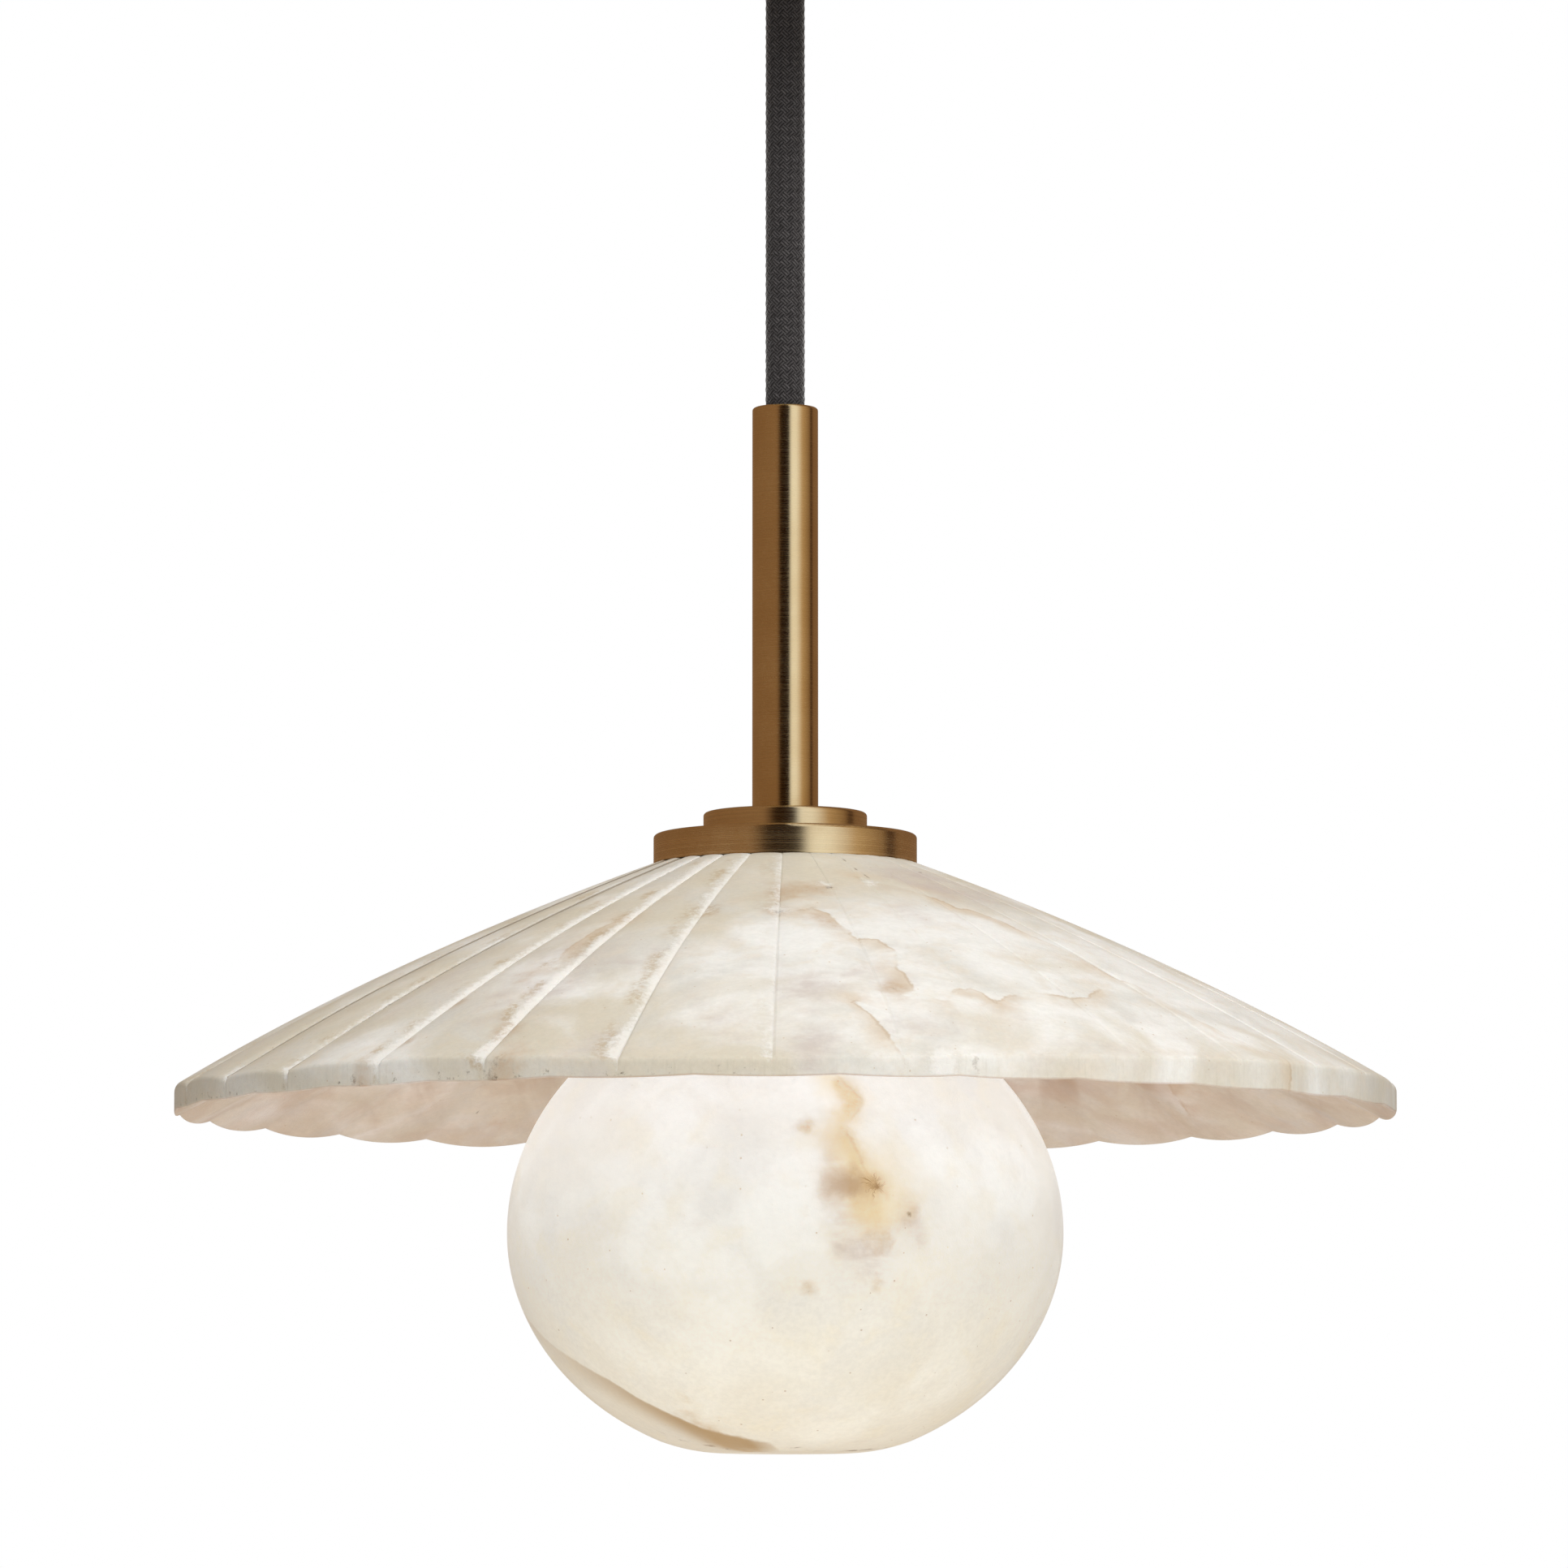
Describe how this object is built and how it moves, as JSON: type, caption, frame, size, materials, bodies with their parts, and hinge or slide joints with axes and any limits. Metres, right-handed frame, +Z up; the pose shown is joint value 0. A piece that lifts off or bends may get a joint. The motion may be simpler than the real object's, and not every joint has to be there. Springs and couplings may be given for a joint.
{
  "type": "pendant light",
  "caption": "Ceiling pendant light: fluted alabaster shade over a veined alabaster globe, hung by a turned brass stem and a braided cord.",
  "frame": {"origin": "on the lamp's axis, in the plane of the ceiling", "axes": "+Z up along the lamp's axis, -Y towards the viewer, +X to the viewer's right"},
  "size_m": [0.2996, 0.2998, 0.4065],
  "materials": {
    "alabaster": "honed, veined, lit",
    "satin_brass": "satin, turned",
    "machined_brass": "machined",
    "braided_textile": "braided",
    "zinc_plated_steel": "zinc plated",
    "black_rubber": "matt",
    "grey_felt": "felt",
    "white_ceramic": "pressed, unglazed",
    "moulded_lamp_base": "moulded",
    "frosted_lamp_cover": "frosted",
    "wire_insulation": "extruded",
    "earth_insulation": "extruded",
    "connector_plastic": "moulded"
  },
  "bodies": {
    "ceiling": {"crossbar": "zinc_plated_steel", "ground_screw": "machined_brass", "canopy": "satin_brass", "canopy_studs": "zinc_plated_steel", "canopy_nuts": "satin_brass", "grip_body": "satin_brass", "grip_nut": "zinc_plated_steel", "grip_bushing": "black_rubber", "grip_cap": "satin_brass", "cord_tail": "braided_textile", "supply_leads": "wire_insulation", "earth_lead": "earth_insulation", "wire_connectors": "connector_plastic"},
    "cord": {"cord": "braided_textile"},
    "pendant": {"stem": "satin_brass", "cord_anchor": "machined_brass", "lamp_leads": "wire_insulation", "nipple": "zinc_plated_steel", "upper_cap": "satin_brass", "lower_cap": "satin_brass", "top_washer": "grey_felt", "shade": "alabaster", "bottom_washer": "black_rubber", "clamp_plate": "zinc_plated_steel", "lock_nut": "zinc_plated_steel", "gallery": "machined_brass", "gallery_nut": "zinc_plated_steel", "lampholder_carrier": "zinc_plated_steel", "lampholder": "white_ceramic", "lampholder_screws": "zinc_plated_steel"},
    "lamp": {"lamp_base": "moulded_lamp_base", "lamp_pins": "zinc_plated_steel", "lamp_cover": "frosted_lamp_cover"},
    "globe": {"globe": "alabaster", "globe_gasket": "black_rubber", "globe_collar": "machined_brass", "collar_ring_nut": "machined_brass"}
  },
  "joints": [
    {"name": "cord_swing", "type": "hinge", "parent": "ceiling", "child": "cord", "pos_m": [0, 0, -0.039], "axis": [1, 0, 0], "range_deg": [-15, 15]},
    {"name": "pendant_swing", "type": "hinge", "parent": "cord", "child": "pendant", "pos_m": [0, 0, -0.151], "axis": [0, 1, 0], "range_deg": [-15, 15]},
    {"name": "globe_lower", "type": "slide", "parent": "pendant", "child": "globe", "axis": [0, 0, -1], "range_m": [0, 0.11]},
    {"name": "lamp_pull", "type": "slide", "parent": "pendant", "child": "lamp", "axis": [0, 0, -1], "range_m": [0, 0.015]}
  ]
}
